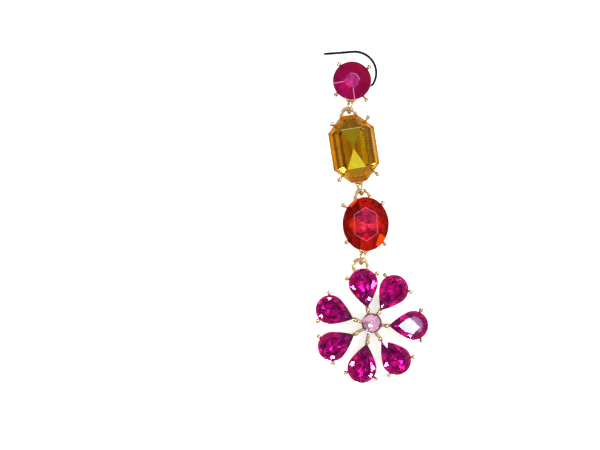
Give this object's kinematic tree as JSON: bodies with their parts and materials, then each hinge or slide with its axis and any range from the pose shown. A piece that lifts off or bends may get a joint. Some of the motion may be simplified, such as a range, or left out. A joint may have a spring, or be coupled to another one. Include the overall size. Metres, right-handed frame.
{
  "type": "drop earring",
  "caption": "Drop earring lying face up: an ear hook, a round, a long octagonal and an oval faceted stone in prong cups, and a flower of pear-shaped stones, joined by rings.",
  "frame": {"origin": "middle of the box round the whole earring, on the surface that its cups rest on", "axes": "+Y along the drop towards the ear hook, +Z out of the stones' faces, +X to the right as seen from the front"},
  "size_m": [0.0302, 0.0884, 0.0078],
  "materials": {
    "gold_metal": "polished gold plating",
    "hook_steel": "dark blue-black polished wire",
    "crimson_stone": "faceted crimson glass with a mirrored back",
    "amber_stone": "faceted amber glass with a mirrored back",
    "red_stone": "faceted red glass with a mirrored back",
    "pale_pink_stone": "faceted pale pink glass with a mirrored back"
  },
  "bodies": {
    "root": {"ear_hook": "hook_steel", "round_setting": "gold_metal", "round_stone": "crimson_stone", "jump_ring_1": "gold_metal", "octagon_setting": "gold_metal", "octagon_stone": "amber_stone", "jump_ring_2": "gold_metal", "oval_setting": "gold_metal", "oval_stone": "red_stone", "jump_ring_3": "gold_metal", "flower_frame": "gold_metal", "petal_stone_1": "crimson_stone", "petal_stone_2": "crimson_stone", "petal_stone_3": "crimson_stone", "petal_stone_4": "crimson_stone", "petal_stone_5": "crimson_stone", "petal_stone_6": "crimson_stone", "petal_stone_7": "crimson_stone", "center_stone": "pale_pink_stone"}
  },
  "joints": []
}
